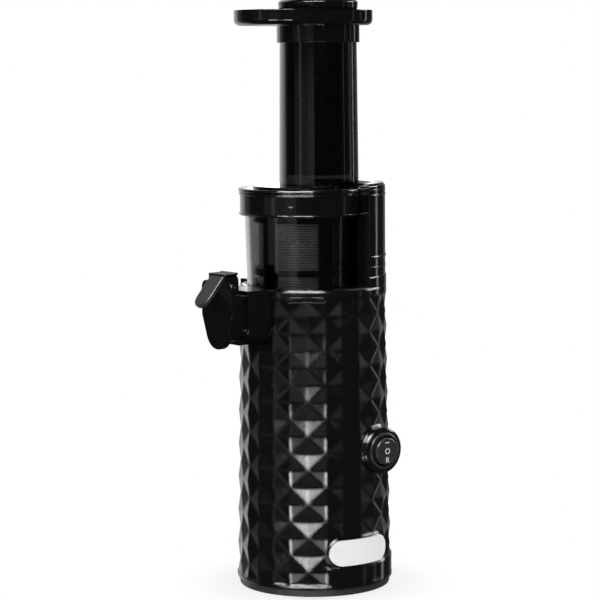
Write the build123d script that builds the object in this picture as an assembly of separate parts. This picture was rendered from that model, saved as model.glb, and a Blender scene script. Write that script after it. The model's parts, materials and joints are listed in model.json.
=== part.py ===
from build123d import *
from math import acos, cos, degrees, pi, radians, sin, sqrt, tan
import os

# Cold press juicer, millimetres. The origin is on the body's axis, on the surface that the feet
# stand on. +Z is up, -Y is the front with the switch and badge, -X carries the juice spout,
# +Y the pulp outlet and +X the lid lock arm.

# ---- clearances ----
SEAT_GAP = 0.2          # between a lift-off piece and the face that it stands on
SLIP_GAP = 0.3          # radial play of lift-off pieces
RUN_GAP = 0.05          # radial play of a turning shaft in its bore
AXIAL_PLAY = 0.3        # end float of a turning piece
SWING_GAP = 0.3         # between the spout cap and the spout
FIT_GAP = 0.1           # radial play of a piece that is fixed in its hole
JOIN = 0.5              # overlap of shapes that are fused into one piece
PAST = 1.0              # how far a cutter runs past the faces that it opens

# ---- feet and bottom cover ----
FOOT_PROUD = 1.5
FOOT_RADIUS = 6.0
FOOT_SEAT_DEPTH = 1.5
FOOT_CIRCLE = 40.0
FOOT_ANGLES = (45, 135, 225, 315)
FOOT_BEVEL = 0.5
PLINTH_HEIGHT = 5.0
PLINTH_INSET = 1.2
PLINTH_SETBACK = 0.5    # of its upper edge behind the body
PLINTH_WALL_GAP = 1.0   # of its hollow inside the body's wall
COVER_THICKNESS = 3.0
VENT_COUNT = 5
VENT_WIDTH = 2.4
VENT_SPACING = 5.5
VENT_LENGTH = 26.0
MOTOR_SEAT_WIDTH = 3.5

# ---- body shell ----
BODY_BASE_RADIUS = 53.0
BODY_TOP_RADIUS = 50.0
FACET_DIAMONDS = 13     # rhombi around the body
FACET_ROWS = 17         # half rhombi up the body
FACET_PITCH = 11.45
FACET_RELIEF = 1.4
SHELL_WALL = 2.4
RIM_HEIGHT = 6.35
RIM_BEVEL = 1.0
BASE_LIP_HEIGHT = 2.2
BASE_LIP_PROUD = 0.3
FOOT_BAND_HEIGHT = 14.5
FOOT_BAND_START = 243.0   # degrees round the body
FOOT_BAND_SWEEP = 100.0
SCREW_BOSS_RADIUS = 4.5
SCREW_BOSS_HEIGHT = 18.0
SCREW_ANGLES = (10, 115, 190, 260)
SCREW_RADIUS = 1.5
SCREW_PLAY = 0.2
SCREW_END_ROOM = 1.0
SCREW_SLOT = (4.0, 0.6, 0.8)   # length, width and depth
SCREW_HEAD_RADIUS = 2.8
SCREW_HEAD_HEIGHT = 1.6
SCREW_BITE = 8.0

# ---- badge ----
BADGE_WIDTH = 47.5
BADGE_HEIGHT = 17.5
BADGE_THICKNESS = 1.1
BADGE_GAP_ABOVE_BAND = 1.0
BADGE_PAD_MARGIN = 0.6

# ---- rocker switch ----
SWITCH_SIDE = 18.5      # sideways from the front centreline
SWITCH_HEIGHT = 97.0
BOSS_RADIUS = 15.7
BOSS_PROUD = 2.0        # beyond the widest part of the body
BOSS_ROUND = 1.4
BEZEL_RADIUS = 12.3
BEZEL_THICKNESS = 1.6
BEZEL_ROUND = 0.7
POCKET_RADIUS = 10.5
POCKET_WALL = 1.1
POCKET_DEPTH = 12.0
SWITCH_DEPTH = 15.0
ROCKER_RADIUS = 9.1
ROCKER_PROUD = 2.6      # of the bezel's face
ROCKER_DEPTH = 5.4
ROCKER_ROUND = 1.0
ROCKER_PIN_RADIUS = 1.2
ROCKER_PIN_BITE = 1.5   # of the stubs into the rocker
ROCKER_PIN_DEPTH = 1.5  # of the stubs behind the rocker's middle
TERMINAL = (6.4, 6.0, 0.8)     # width, length and thickness
TERMINAL_SPACING = 6.0

# ---- bowl deck ----
BOWL_RECESS_DEPTH = 41.5
DECK_THICKNESS = 3.0
LEDGE_WIDTH = 3.0
LEDGE_HEIGHT = 3.0
DECK_POST_RADIUS = 4.0
DECK_POST_CIRCLE = 20.0
DECK_POST_ANGLES = (60, 180, 300)
DECK_SEAL_RADIUS = 8.5
DECK_SEAL_DEPTH = 4.0   # below the deck
DECK_SEAL_HOLDER = 2.0
DECK_SEAL_LIPS = (1.2, 1.1, 1.5)   # outer lip, inner lip and depth of the groove between them

# ---- bowl ----
CHAMBER_OFFSET = 7.5    # bowl axis from the body axis, towards the spout
CUP_WALL = 2.6
CUP_FLOOR = 3.0
FLANGE_THICKNESS = 4.0
BOWL_SEAL_RADIUS = 10.0
BOWL_WALL = 2.2
BOWL_WALL_BASE_RADIUS = 38.4
BOWL_WALL_TOP_RADIUS = 40.0
BOWL_WALL_HEIGHT = 59.0

# ---- juice spout and pulp outlet ----
POD_WIDTH = 33.0
POD_DEPTH = 37.0
POD_CORNER = 12.0
POD_WALL = 3.0
POD_START = 20.0        # from the body axis
POD_REACH = 66.0
NECK_WIDTH = 27.0
NECK_STEP = 3.0
NECK_CORNER = 10.0
NECK_START = 50.0
NECK_REACH = 76.0
CHANNEL_START = 30.0
PULP_START = 25.0
PULP_REACH = 62.0

# ---- spout cap ----
CAP_WIDTH = 35.0
CAP_HEAD = 27.0         # height of its full-width part
CAP_THICKNESS = 3.3
CAP_DROP = 39.0         # below the rim
CAP_RISE = 6.5          # above the rim
CAP_CORNER = 5.0
CAP_FOOT_RADIUS = 13.0
HINGE_INSET = 5.0       # behind the mouth of the neck
HINGE_REACH = NECK_REACH - HINGE_INSET
HINGE_RISE = 5.0        # above the rim
HINGE_PIN_RADIUS = 1.5
HINGE_BARREL_RADIUS = 3.8
HINGE_BARREL_WIDTH = 9.0
HINGE_WEB = (2.0, 1.5)  # below and above the pin's level
EAR_THICKNESS = 3.0
SEAL_DEPTH = 2.5
SEAL_TOP_ROOM = 1.4
LEVER_WIDTH = 15.0
LEVER_LENGTH = 27.0
LEVER_THICKNESS = 2.5
LEVER_ROUND = 0.8
LEVER_SLOPE = 50.0      # degrees below the horizontal
LEVER_RISE = 5.4        # of its upper end above the cap plate

# ---- strainer and auger ----
STRAINER_RADIUS = 34.0
STRAINER_BAND = 3.4
STRAINER_POSTS = 5
STRAINER_POST_WIDTH = 9.0
STRAINER_POST_INSET = 0.8
STRAINER_POST_ANGLE = 188.0    # of the first post
STRAINER_FOOT_HEIGHT = 6.0
STRAINER_RING_HEIGHT = 4.6
STRAINER_MID_RISE = 46.0
STRAINER_HEIGHT = 86.0
MESH_THICKNESS = 0.5
AUGER_CLEARANCE = 1.0
AUGER_HEIGHT = 92.0
AUGER_ROOT_RADIUS = 19.0
AUGER_TOP_RADIUS = 11.0
FLIGHT_THICKNESS = 3.0
FLIGHT_PITCH = 26.0
FLIGHT_TURNS = 2.6
FLIGHT_ROOT = 3.0       # of the flight inside the core's top radius
SOCKET_RADIUS = 8.0
SOCKET_HEIGHT = 20.0

# ---- lid and feed tube ----
LID_WALL = 2.6
LID_BAND_HEIGHT = 16.0
LID_TOP_THICKNESS = 4.0
LID_RIM_PROUD = 0.5
LID_RIM_SLOPE = 0.4
LID_GROOVE = 0.5
LID_UPPER_INSET = 0.2
LID_TOP_CHAMFER = 0.6
LID_PLATE_DEPTH = 2.0   # of the plate's underside below the band's top
LID_SKIRT = (2.0, 5.0)  # width, and depth below the bowl wall's top
LID_SKIRT_GAP = 0.5
LID_OVERLAP = 11.2      # of the lid's band over the bowl wall
LOCK_RIB = (3.0, 1.0, 6.2)   # width, stand-out and height
LOCK_RIB_RISE = 1.0
LOCK_RIB_ANGLE = 222.0
TUBE_SIDE = 6.0         # feed tube axis from the body axis, towards the arm
TUBE_BORE_RADIUS = 22.6
TUBE_BASE_RADIUS = 27.0
TUBE_TOP_RADIUS = 26.0
TUBE_HEIGHT = 108.7
TUBE_FLANGE_RADIUS = 34.0
TUBE_FLANGE_THICKNESS = 1.5

# ---- feed tray and pusher ----
COLLAR_WALL = 1.7
COLLAR_HEIGHT = 11.5
TRAY_HEIGHT = 10.0
TRAY_FLOOR = 2.4
TRAY_WALL = 2.2
TRAY_ROUND_RADIUS = 36.8
TRAY_LOBE_RADIUS = 34.0
TRAY_LOBE_REACH = 28.0
TRAY_BOTTOM_ROUND = 3.6
PUSHER_CLEARANCE = 0.7
PUSHER_LENGTH = 103.0
PUSHER_WALL = 2.2
PUSHER_ROUND = 2.0
PUSHER_CAP_RADIUS = 27.0
PUSHER_CAP_TAPER = 2.0
PUSHER_CAP_HEIGHT = 14.2
PUSHER_CAP_EDGE = 1.4
PUSHER_CAP_BAND = 5.0
PUSHER_CAP_DRAFT = 0.3
PUSHER_CAP_RIM = 6.0
PUSHER_DISH_SLOPE = 3.0
PUSHER_DIMPLE = 1.2

# ---- lid lock arm ----
ARM_START = -77.0       # degrees round the body
ARM_SWEEP = 134.0
ARM_END_GAP = 1.0       # degrees between the arm's ends and the bowl's flange
ARM_HEIGHT = 69.0
ARM_INSET = 0.6         # of the arm's outer face inside the rim
ARM_FOOT_HEIGHT = 6.5
ARM_WALL = 2.4
ARM_LID_GAP = 1.4
ARM_STEP_GAP = 1.0      # of the step below the lid's band
ARM_LOWER_THICKENING = 2.9
ARM_SKIRT = 12.0
ARM_ROUND = 1.8
ARM_SOLID_END = 6.0
PLUNGER_RADIUS = 2.0
PLUNGER_HEIGHT = 6.0    # of its axis above the lower edge of the lid's band
LOCK_SWITCH = (4.4, 12.0, 10.0)   # depth, width and height

# ---- gear train ----
MODULE = 1.0
PINION_TEETH = 14
WHEEL_TEETH = 42
PRESSURE_ANGLE = 20.0
ADDENDUM = 0.8
DEDENDUM = 1.1
BACKLASH = 0.2
FIRST_FACE = 10.0
SECOND_FACE = 12.0
GEAR_SPACING = 3.0
GEARBOX_DROP = 12.8     # gearbox top below the deck
GEARBOX_COVER = 4.0
GEARBOX_FLOOR = 3.0
GEARBOX_WALL = 2.0
GEAR_ROOM = 0.8
IDLER_AXLE_RADIUS = 3.0
AXLE_INSET = 1.0
HUB_RADIUS = 6.0        # of the bearing hubs
FLANK_START = 0.05      # of a large wheel's flank above its root
DRIVE_SHAFT_RADIUS = 4.0
DRIVE_SHAFT_ABOVE_FLOOR = 17.0
BUSH_RADIUS = 7.0
BUSH_LENGTH = 10.0
GEARBOX_SCREW_SPREAD = 8.0
GEARBOX_EAR_RADIUS = 3.2
SHAFT_ROOM = 1.5        # around the motor shaft in the gearbox floor

# ---- motor ----
MOTOR_RADIUS = 22.0
MOTOR_LENGTH = 76.0
MOTOR_WALL = 1.5
MOTOR_TOP = 3.0
END_BELL_HEIGHT = 10.0
END_BELL_WALL = 3.0
ROTOR_RADIUS = 15.0
ROTOR_LENGTH = 48.0
WINDING_HEIGHT = 6.0    # of the winding heads beyond the rotor core
WINDING_INSET = 3.0
MAGNET_THICKNESS = 4.6
MAGNET_ARC = 130.0
MOTOR_SHAFT_RADIUS = 2.5
SHAFT_END_INSET = 0.5
CRADLE_WALL = 2.3
CRADLE_GRIP = 4.0

# ---- electronics and cord gland ----
BOARD_WIDTH = 46.0
BOARD_HEIGHT = 62.0
BOARD_THICKNESS = 1.6
BOARD_SETBACK = 31.0
BOARD_LIFT = 16.0
BOARD_EDGE = 1.0        # of the board inside its rails
BOARD_RAIL = (6.0, 2.0, 6.0)   # width, wall and height above the board's lower edge
CAPACITOR_RADIUS = 5.0
CAPACITOR_LENGTH = 18.0
CAPACITOR_PLACE = (8.0, 34.0)  # sideways and up on the board
RECTIFIER = (15.0, 4.0, 15.0)  # width, thickness and height
RECTIFIER_PLACE = (-14.0, 38.0)
TERMINAL_BLOCK = (20.0, 8.0, 10.0)
TERMINAL_BLOCK_PLACE = (-10.0, 14.0)
GLAND_RADIUS = 5.0
GLAND_BORE = 3.2
GLAND_FLANGE = 7.0
GLAND_OUTER_LIP = 2.0
GLAND_INNER_LIP = 2.5
GLAND_GROOVE_ROOM = 1.5
GLAND_HEIGHT = 18.0
GLAND_ANGLE = 90.0

# ---- levels and radii that follow from the sizes above ----
Z_COVER = FOOT_PROUD
Z_SHELL = Z_COVER + PLINTH_HEIGHT
Z_FACETS = Z_SHELL + FACET_ROWS * FACET_PITCH
Z_RIM = Z_FACETS + RIM_HEIGHT
Z_CUP = Z_RIM - BOWL_RECESS_DEPTH
Z_DECK = Z_CUP - SEAT_GAP
Z_DECK_BOTTOM = Z_DECK - DECK_THICKNESS
Z_BOWL_FLOOR = Z_CUP + CUP_FLOOR
Z_POD = Z_RIM - POD_DEPTH
Z_BOWL_WALL_TOP = Z_RIM + BOWL_WALL_HEIGHT
Z_LID = Z_BOWL_WALL_TOP - LID_OVERLAP
Z_LID_PLATE = Z_LID + LID_BAND_HEIGHT - LID_PLATE_DEPTH
Z_LID_TOP = Z_LID_PLATE + LID_TOP_THICKNESS
Z_TUBE = Z_LID_TOP + TUBE_FLANGE_THICKNESS
Z_TUBE_TOP = Z_LID_TOP + TUBE_HEIGHT
Z_TRAY = Z_TUBE_TOP + SEAT_GAP
Z_TRAY_FLOOR = Z_TRAY + TRAY_FLOOR
Z_GEARBOX_TOP = Z_DECK_BOTTOM - GEARBOX_DROP
Z_GEARS_TOP = Z_GEARBOX_TOP - GEARBOX_COVER - GEAR_SPACING
Z_SECOND = Z_GEARS_TOP - SECOND_FACE
Z_FIRST = Z_SECOND - GEAR_SPACING - FIRST_FACE
Z_GEARBOX = Z_FIRST - GEAR_SPACING - GEARBOX_FLOOR
Z_MOTOR = Z_GEARBOX - MOTOR_LENGTH
Z_END_BELL = Z_MOTOR - END_BELL_HEIGHT
Z_COVER_TOP = Z_COVER + COVER_THICKNESS

CHAMBER_X = -CHAMBER_OFFSET
GEAR_CENTRES = MODULE * (PINION_TEETH + WHEEL_TEETH) / 2
IDLER_X = CHAMBER_X + GEAR_CENTRES
WHEEL_TIP_RADIUS = MODULE * (WHEEL_TEETH / 2 + ADDENDUM)
COLUMNS = 2 * FACET_DIAMONDS
COLUMN_STEP = 360 / COLUMNS
FRONT = 270.0           # degrees round the body
FAR = 3 * BODY_BASE_RADIUS     # farther out than any piece


def body_radius(z):
    """Radius of the raised facet points at a height."""
    share = (z - Z_SHELL) / (Z_FACETS - Z_SHELL)
    return BODY_BASE_RADIUS + (BODY_TOP_RADIUS - BODY_BASE_RADIUS) * share


def inner_radius(z):
    """Radius of the shell's inside at a height."""
    valley = (body_radius(z) - FACET_RELIEF) * cos(radians(COLUMN_STEP / 2))
    return valley - SHELL_WALL


RIM_RADIUS = BODY_TOP_RADIUS + 0.2
RECESS_RADIUS = inner_radius(Z_FACETS)
CUP_RADIUS = RECESS_RADIUS - CHAMBER_OFFSET - SLIP_GAP
CUP_INNER = CUP_RADIUS - CUP_WALL
LID_INNER = BOWL_WALL_TOP_RADIUS + SLIP_GAP + 0.1
LID_RADIUS = LID_INNER + LID_WALL
ARM_RADIUS = RIM_RADIUS - ARM_INSET
ARM_UPPER_INNER = LID_RADIUS + ARM_LID_GAP
ARM_LOWER_INNER = ARM_UPPER_INNER - ARM_LOWER_THICKENING
ARM_TOP = Z_RIM + ARM_HEIGHT
SWITCH_FACE = BODY_BASE_RADIUS + BOSS_PROUD - BOSS_ROUND
MESH_INNER = STRAINER_RADIUS - STRAINER_BAND
AUGER_RADIUS = MESH_INNER - MESH_THICKNESS - AUGER_CLEARANCE


# ---- shape helpers ----
def rod(radius, low, high, x=0.0, y=0.0):
    """Upright cylinder between two levels."""
    return Pos(x, y, low) * Cylinder(radius, high - low, align=(Align.CENTER, Align.CENTER, Align.MIN))


def tube(outer, inner, low, high, x=0.0, y=0.0):
    """Upright tube between two levels."""
    return rod(outer, low, high, x, y) - rod(inner, low - PAST, high + PAST, x, y)


def taper(radius_low, radius_high, low, high, x=0.0, y=0.0):
    """Upright cone frustum between two levels."""
    if abs(radius_low - radius_high) < 1e-6:
        return rod(radius_low, low, high, x, y)
    at = (Align.CENTER, Align.CENTER, Align.MIN)
    return Pos(x, y, low) * Cone(radius_low, radius_high, high - low, align=at)


def block(x_low, x_high, y_low, y_high, low, high):
    """Box between two corners."""
    size = (x_high - x_low, y_high - y_low, high - low)
    return Pos(x_low, y_low, low) * Box(*size, align=(Align.MIN, Align.MIN, Align.MIN))


def bar_x(radius, x_low, x_high, y, z):
    """Cylinder along X."""
    return Pos(x_low, y, z) * Rot(0, 90, 0) * Cylinder(
        radius, x_high - x_low, align=(Align.CENTER, Align.CENTER, Align.MIN))


def bar_y(radius, y_low, y_high, x, z):
    """Cylinder along Y."""
    return Pos(x, y_low, z) * Rot(-90, 0, 0) * Cylinder(
        radius, y_high - y_low, align=(Align.CENTER, Align.CENTER, Align.MIN))


def polar(radius, angle):
    """Point at a radius and an angle in degrees."""
    return radius * cos(radians(angle)), radius * sin(radians(angle))


def sector(radius, start, sweep, low, high):
    """Pie slice about the body axis, between two levels."""
    steps = max(2, int(sweep // 30) + 1)
    rim = [polar(radius, start + sweep * i / steps) for i in range(steps + 1)]
    return extrude(Pos(0, 0, low) * make_face(Polyline((0, 0), *rim, close=True)), high - low)


def turned(points, x=0.0, y=0.0):
    """Solid of revolution from (radius, height) points."""
    profile = make_face(Polyline(*points, close=True))
    return Pos(x, y, 0) * revolve(Plane.XZ * profile, Axis.Z)


def u_bar(width, low, high, corner, near, far):
    """Bar along -X with a U section, from a near to a far distance."""
    section = Pos(0, (low + high) / 2) * Rectangle(width, high - low)
    section = fillet(section.vertices().group_by(Axis.Y)[0], corner)
    return extrude(Plane.YZ.offset(-far) * section, far - near)


# ---- body shell ----
def facet_point(column, row):
    """A grid point of the faceted surface: rhombus centres stand out, corners lie deeper."""
    z = Z_SHELL + row * FACET_PITCH
    raised = (column + row) % 2 == 1
    radius = body_radius(z) - (0 if raised else FACET_RELIEF)
    x, y = polar(radius, FRONT + column * COLUMN_STEP)
    return Vector(x, y, z)


def flat_face(points):
    return Face(Wire.make_polygon(points, close=True))


def faceted_block():
    """Solid block with the body's faceted outside."""
    faces = []
    for row in range(FACET_ROWS):
        for column in range(COLUMNS):
            a = facet_point(column, row)
            b = facet_point(column + 1, row)
            c = facet_point(column + 1, row + 1)
            d = facet_point(column, row + 1)
            if (column + row) % 2 == 1:
                triangles = ((a, b, d), (c, d, b))
            else:
                triangles = ((a, b, c), (a, c, d))
            faces += [flat_face(t) for t in triangles]
    for row in (0, FACET_ROWS):
        faces.append(flat_face([facet_point(column, row) for column in range(COLUMNS)]))
    return Solid(Shell(faces))


def pod_cutter():
    """Space that a pod of the bowl needs in the shell's wall."""
    width = POD_WIDTH + 2 * SLIP_GAP
    return u_bar(width, Z_POD - SLIP_GAP, Z_RIM + PAST, POD_CORNER, POD_START, FAR)


def foot_places():
    return [polar(FOOT_CIRCLE, angle) for angle in FOOT_ANGLES]


def boss_places():
    radius = inner_radius(Z_SHELL) - SCREW_BOSS_RADIUS + JOIN
    return [polar(radius, angle) for angle in SCREW_ANGLES]


def body_shell():
    shell = faceted_block()
    shell += rod(BODY_BASE_RADIUS + BASE_LIP_PROUD, Z_SHELL, Z_SHELL + BASE_LIP_HEIGHT)
    band = rod(BODY_BASE_RADIUS + BASE_LIP_PROUD / 2, Z_SHELL, Z_SHELL + FOOT_BAND_HEIGHT)
    shell += band & sector(FAR, FOOT_BAND_START, FOOT_BAND_SWEEP, Z_SHELL, Z_FACETS)
    rim = rod(RIM_RADIUS, Z_FACETS, Z_RIM)
    shell += chamfer(rim.edges().group_by(Axis.Z)[-1], RIM_BEVEL)
    shell += badge_pad()
    boss = bar_y(BOSS_RADIUS, -SWITCH_FACE, -SWITCH_FACE / 2, SWITCH_SIDE, SWITCH_HEIGHT)
    shell += fillet(boss.edges().group_by(Axis.Y)[0], BOSS_ROUND)
    shell -= taper(inner_radius(Z_SHELL), RECESS_RADIUS, Z_SHELL, Z_FACETS)
    shell -= rod(RECESS_RADIUS, Z_FACETS - PAST, Z_RIM + PAST)
    ledge_low = Z_DECK_BOTTOM - LEDGE_HEIGHT
    ledge = rod(inner_radius(ledge_low) + JOIN, ledge_low, Z_DECK_BOTTOM)
    shell += ledge - rod(RECESS_RADIUS - LEDGE_WIDTH, ledge_low - PAST, Z_DECK_BOTTOM + PAST)
    for x, y in boss_places():
        shell += rod(SCREW_BOSS_RADIUS, Z_SHELL, Z_SHELL + SCREW_BOSS_HEIGHT, x, y)
        shell -= rod(SCREW_RADIUS, Z_SHELL - PAST, Z_SHELL + SCREW_BITE + SCREW_END_ROOM, x, y)
    hole = POCKET_RADIUS + POCKET_WALL + FIT_GAP
    shell -= bar_y(hole, -SWITCH_FACE - PAST, 0, SWITCH_SIDE, SWITCH_HEIGHT)
    shell -= pod_cutter()
    shell -= Rot(0, 0, -90) * pod_cutter()
    shell -= Rot(0, 0, GLAND_ANGLE) * bar_x(GLAND_RADIUS, FOOT_CIRCLE, FAR, 0, Z_SHELL + GLAND_HEIGHT)
    return shell


def badge_level():
    return Z_SHELL + FOOT_BAND_HEIGHT + BADGE_GAP_ABOVE_BAND + BADGE_HEIGHT / 2


def badge_outline(margin=0.0):
    """Stadium-shaped bar through the front of the body."""
    outline = SlotOverall(BADGE_WIDTH + 2 * margin, BADGE_HEIGHT + 2 * margin)
    return extrude(Plane.XZ.offset(BADGE_HEIGHT) * Pos(0, badge_level()) * outline, FAR)


def badge_pad():
    return rod(BODY_BASE_RADIUS, Z_SHELL, Z_FACETS) & badge_outline(BADGE_PAD_MARGIN)


def name_badge():
    plate = rod(BODY_BASE_RADIUS + BADGE_THICKNESS, Z_SHELL, Z_FACETS)
    plate -= rod(BODY_BASE_RADIUS, Z_SHELL - PAST, Z_FACETS + PAST)
    return plate & badge_outline()


# ---- bottom cover ----
def cradle_top():
    return Z_END_BELL + CRADLE_GRIP


def rail_places():
    edge = BOARD_WIDTH / 2
    return [CHAMBER_X - edge, CHAMBER_X + edge]


def bottom_cover():
    rim = BODY_BASE_RADIUS - PLINTH_SETBACK
    cover = taper(rim - PLINTH_INSET, rim, Z_COVER, Z_SHELL)
    cover -= rod(inner_radius(Z_SHELL) - PLINTH_WALL_GAP, Z_COVER_TOP, Z_SHELL + PAST)
    grip = MOTOR_RADIUS + SLIP_GAP
    cover += tube(grip + CRADLE_WALL, grip, Z_COVER_TOP, cradle_top(), CHAMBER_X)
    cover += tube(grip, grip - MOTOR_SEAT_WIDTH, Z_COVER_TOP, Z_END_BELL, CHAMBER_X)
    width, wall, hold = BOARD_RAIL
    for x in rail_places():
        cover += block(x - width / 2, x + width / 2, BOARD_SETBACK - wall,
                       BOARD_SETBACK + BOARD_THICKNESS + wall, Z_COVER_TOP, Z_SHELL + BOARD_LIFT + hold)
    cover -= board_blank(FIT_GAP)
    for x, y in boss_places():
        cover += rod(SCREW_BOSS_RADIUS, Z_COVER_TOP, Z_SHELL, x, y)
        cover -= rod(SCREW_RADIUS + SCREW_PLAY, Z_COVER - PAST, Z_SHELL + PAST, x, y)
        cover -= rod(SCREW_HEAD_RADIUS + SLIP_GAP, Z_COVER - PAST, Z_COVER + SCREW_HEAD_HEIGHT, x, y)
    for x, y in foot_places():
        cover -= rod(FOOT_RADIUS, Z_COVER - PAST, Z_COVER + FOOT_SEAT_DEPTH, x, y)
    half = VENT_WIDTH / 2
    inside = grip - MOTOR_SEAT_WIDTH - PAST
    for i in range(VENT_COUNT):
        aside = (i - (VENT_COUNT - 1) / 2) * VENT_SPACING
        x = CHAMBER_X + aside
        reach = min(VENT_LENGTH / 2, sqrt(inside ** 2 - aside ** 2))
        cover -= block(x - half, x + half, -reach, reach, Z_COVER - PAST, Z_COVER_TOP + PAST)
    return cover


def rubber_feet():
    feet = []
    for x, y in foot_places():
        foot = rod(FOOT_RADIUS, 0, Z_COVER + FOOT_SEAT_DEPTH, x, y)
        feet.append(chamfer(foot.edges().group_by(Axis.Z)[0], FOOT_BEVEL))
    return feet


def bottom_screws():
    screws = []
    length, width, depth = SCREW_SLOT
    for x, y in boss_places():
        head_top = Z_COVER + SCREW_HEAD_HEIGHT
        screw = rod(SCREW_HEAD_RADIUS, Z_COVER + SCREW_PLAY, head_top, x, y)
        screw += rod(SCREW_RADIUS, head_top - JOIN, Z_SHELL + SCREW_BITE, x, y)
        slot = block(x - length / 2, x + length / 2, y - width / 2, y + width / 2, Z_COVER, Z_COVER + depth)
        screws.append(screw - slot)
    return screws


# ---- motor ----
def motor_can():
    can = rod(MOTOR_RADIUS, Z_MOTOR, Z_GEARBOX, CHAMBER_X)
    can -= rod(MOTOR_RADIUS - MOTOR_WALL, Z_MOTOR - PAST, Z_GEARBOX - MOTOR_TOP, CHAMBER_X)
    can -= rod(MOTOR_SHAFT_RADIUS + RUN_GAP, Z_MOTOR, Z_GEARBOX + PAST, CHAMBER_X)
    return can


def motor_end_bell():
    bell = rod(MOTOR_RADIUS, Z_END_BELL, Z_MOTOR, CHAMBER_X)
    bell -= rod(MOTOR_RADIUS - END_BELL_WALL, Z_END_BELL + END_BELL_WALL, Z_MOTOR + PAST, CHAMBER_X)
    bell += rod(HUB_RADIUS, Z_END_BELL, Z_MOTOR, CHAMBER_X)
    return bell - rod(MOTOR_SHAFT_RADIUS + RUN_GAP, Z_END_BELL - PAST, Z_MOTOR + PAST, CHAMBER_X)


def magnet_outer():
    return MOTOR_RADIUS - MOTOR_WALL


def rotor_low():
    return Z_MOTOR + (MOTOR_LENGTH - MOTOR_TOP - ROTOR_LENGTH) / 2


def motor_magnets():
    ring = tube(magnet_outer(), magnet_outer() - MAGNET_THICKNESS, rotor_low(),
                rotor_low() + ROTOR_LENGTH, CHAMBER_X)
    magnets = []
    for middle in (90, 270):
        slice_ = sector(FAR, middle - MAGNET_ARC / 2, MAGNET_ARC, Z_MOTOR, Z_GEARBOX)
        magnets.append(ring & Pos(CHAMBER_X, 0, 0) * slice_)
    return magnets


def motor_rotor():
    """Rotor core with its winding heads, on its shaft."""
    low, high = rotor_low(), rotor_low() + ROTOR_LENGTH
    rotor = rod(MOTOR_SHAFT_RADIUS, Z_END_BELL + SHAFT_END_INSET, Z_FIRST + FIRST_FACE, CHAMBER_X)
    rotor += rod(ROTOR_RADIUS, low + WINDING_HEIGHT, high - WINDING_HEIGHT, CHAMBER_X)
    return rotor + rod(ROTOR_RADIUS - WINDING_INSET, low, high, CHAMBER_X)


# ---- gears ----
def gear_blank(teeth, low, high, x, turn=0.0):
    """Spur gear with involute flanks; its first tooth points along +X, plus a turn in degrees."""
    pitch_radius = teeth * MODULE / 2
    base = pitch_radius * cos(radians(PRESSURE_ANGLE))
    root = pitch_radius - DEDENDUM * MODULE
    tip = pitch_radius + ADDENDUM * MODULE

    def involute(radius):
        roll = acos(min(1.0, base / radius))
        return tan(roll) - roll

    at_pitch = pi / (2 * teeth) - BACKLASH / (4 * pitch_radius) + involute(pitch_radius)
    radii = [root, max(base, root + FLANK_START), pitch_radius, tip]
    points = []
    for tooth in range(teeth):
        middle = 2 * pi * tooth / teeth
        flank = [(r, at_pitch - involute(max(r, base))) for r in radii]
        angles = [(r, middle - a) for r, a in flank] + [(r, middle + a) for r, a in reversed(flank)]
        points += [(r * cos(a), r * sin(a)) for r, a in angles]
    outline = make_face(Polyline(*points, close=True))
    return Pos(x, 0, low) * Rot(0, 0, turn) * extrude(outline, high - low)


def motor_pinion():
    pinion = gear_blank(PINION_TEETH, Z_FIRST, Z_FIRST + FIRST_FACE, CHAMBER_X)
    return pinion - rod(MOTOR_SHAFT_RADIUS, Z_FIRST - PAST, Z_SECOND, CHAMBER_X)


def gap_turn(teeth):
    """Turn that puts a tooth gap at 180 degrees."""
    return 180 / teeth if teeth % 2 == 0 else 0.0


def idler_gear():
    low = Z_FIRST
    gear = gear_blank(WHEEL_TEETH, low, low + FIRST_FACE, IDLER_X, gap_turn(WHEEL_TEETH))
    pinion_low = low + FIRST_FACE
    gear += gear_blank(PINION_TEETH, pinion_low, Z_GEARS_TOP, IDLER_X, gap_turn(PINION_TEETH))
    return gear - rod(IDLER_AXLE_RADIUS + RUN_GAP, low - PAST, Z_GEARS_TOP + PAST, IDLER_X)


def idler_axle():
    return rod(IDLER_AXLE_RADIUS, Z_GEARBOX + AXLE_INSET, Z_GEARBOX_TOP - AXLE_INSET, IDLER_X)


def output_gear():
    gear = gear_blank(WHEEL_TEETH, Z_SECOND, Z_GEARS_TOP, CHAMBER_X)
    return gear - rod(DRIVE_SHAFT_RADIUS, Z_SECOND - PAST, Z_GEARS_TOP + PAST, CHAMBER_X)


def shaft_top():
    return Z_BOWL_FLOOR + DRIVE_SHAFT_ABOVE_FLOOR


def hexagon(radius, low, high):
    """Hexagonal bar on the chamber axis, by its corner radius."""
    return extrude(Pos(CHAMBER_X, 0, low) * RegularPolygon(radius, 6), high - low)


def drive_shaft():
    shaft = rod(DRIVE_SHAFT_RADIUS, Z_SECOND, Z_BOWL_FLOOR, CHAMBER_X)
    return shaft + hexagon(DRIVE_SHAFT_RADIUS, Z_BOWL_FLOOR - JOIN, shaft_top())


# ---- gearbox ----
def gearbox_plan(radius, low, high):
    """Two-lobed column around both gear axes."""
    column = rod(radius, low, high, CHAMBER_X) + rod(radius, low, high, IDLER_X)
    return column + block(CHAMBER_X, IDLER_X, -radius, radius, low, high)


def gearbox_inner():
    return WHEEL_TIP_RADIUS + GEAR_ROOM


def gearbox_screw_places():
    aside = gearbox_inner() + GEARBOX_WALL
    middle = (CHAMBER_X + IDLER_X) / 2
    return [(middle + x, y) for y in (aside, -aside) for x in (-GEARBOX_SCREW_SPREAD, GEARBOX_SCREW_SPREAD)]


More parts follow.
